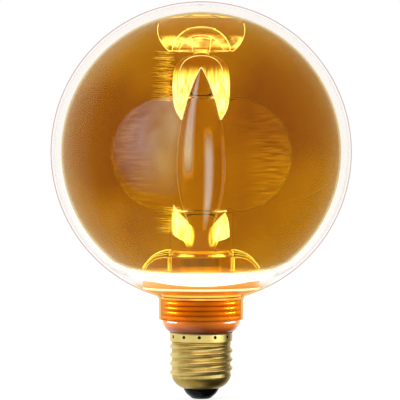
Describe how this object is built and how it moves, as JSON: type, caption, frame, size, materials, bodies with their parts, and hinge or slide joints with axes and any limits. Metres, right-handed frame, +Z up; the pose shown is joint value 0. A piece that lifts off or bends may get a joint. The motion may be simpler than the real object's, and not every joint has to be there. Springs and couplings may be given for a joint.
{
  "type": "decorative led globe bulb",
  "caption": "Globe bulb with a glowing ring of light guide round an amber glass ball that holds a flame-shaped light column, petals and a bubble, on an Edison screw cap.",
  "frame": {"origin": "middle of the flat end of the centre contact, at the foot of the screw cap", "axes": "+Z up the bulb's axis from the cap to the top of the globe; -Y towards the viewer of the picture; the taller lower petal is on -X"},
  "size_m": [0.125, 0.125, 0.165],
  "materials": {
    "clear_glass": "clear polished",
    "guide_glass": "clear polished, glowing at the edge",
    "amber_glass": "amber metallised, polished",
    "column_glass": "clear polished",
    "petal_glass": "clear polished, glowing",
    "thin_glass": "clear polished",
    "seat_plastic": "translucent orange, polished",
    "cup_plastic": "translucent amber, polished",
    "clear_silicone": "translucent satin",
    "cast_aluminium": "satin",
    "white_board": "white solder mask",
    "led_body": "moulded",
    "white_plastic": "moulded",
    "plated_steel": "zinc plated",
    "cap_brass": "lacquered, bright",
    "cement": "cured cement",
    "black_glass": "fused, glossy",
    "contact_metal": "dull tinned",
    "green_board": "solder mask",
    "black_plastic": "moulded epoxy",
    "ferrite": "sintered",
    "copper_wire": "enamelled",
    "film_box": "moulded",
    "resistor_lacquer": "lacquered",
    "red_insulation": "extruded",
    "black_insulation": "extruded"
  },
  "bodies": {
    "root": {"amber_globe": "amber_glass", "base_cup": "cup_plastic", "board_screw_1": "plated_steel", "board_screw_2": "plated_steel", "bridge_rectifier": "black_plastic", "bubble": "thin_glass", "cement_ring": "cement", "centre_contact": "contact_metal", "chip_resistor_1": "black_plastic", "chip_resistor_2": "black_plastic", "chip_resistor_3": "black_plastic", "column_emitter": "led_body", "crown_lens": "column_glass", "driver_board": "green_board", "driver_chip": "black_plastic", "drum_core": "ferrite", "electrolytic_can": "cast_aluminium", "film_capacitor": "film_box", "flare": "thin_glass", "fusible_resistor": "resistor_lacquer", "heat_sink": "cast_aluminium", "insulator": "black_glass", "led_01": "led_body", "led_02": "led_body", "led_03": "led_body", "led_04": "led_body", "led_05": "led_body", "led_06": "led_body", "led_07": "led_body", "led_08": "led_body", "led_09": "led_body", "led_10": "led_body", "led_11": "led_body", "led_12": "led_body", "led_board": "white_board", "led_lead_minus": "black_insulation", "led_lead_plus": "red_insulation", "light_column": "column_glass", "light_guide": "guide_glass", "live_lead": "red_insulation", "lower_petals": "petal_glass", "neck_seal": "clear_silicone", "outer_globe": "clear_glass", "reflector": "white_plastic", "screw_cap": "cap_brass", "seat_collar": "seat_plastic", "side_lead": "black_insulation", "spacer_ring": "thin_glass", "upper_petals": "petal_glass", "winding": "copper_wire"}
  },
  "joints": []
}
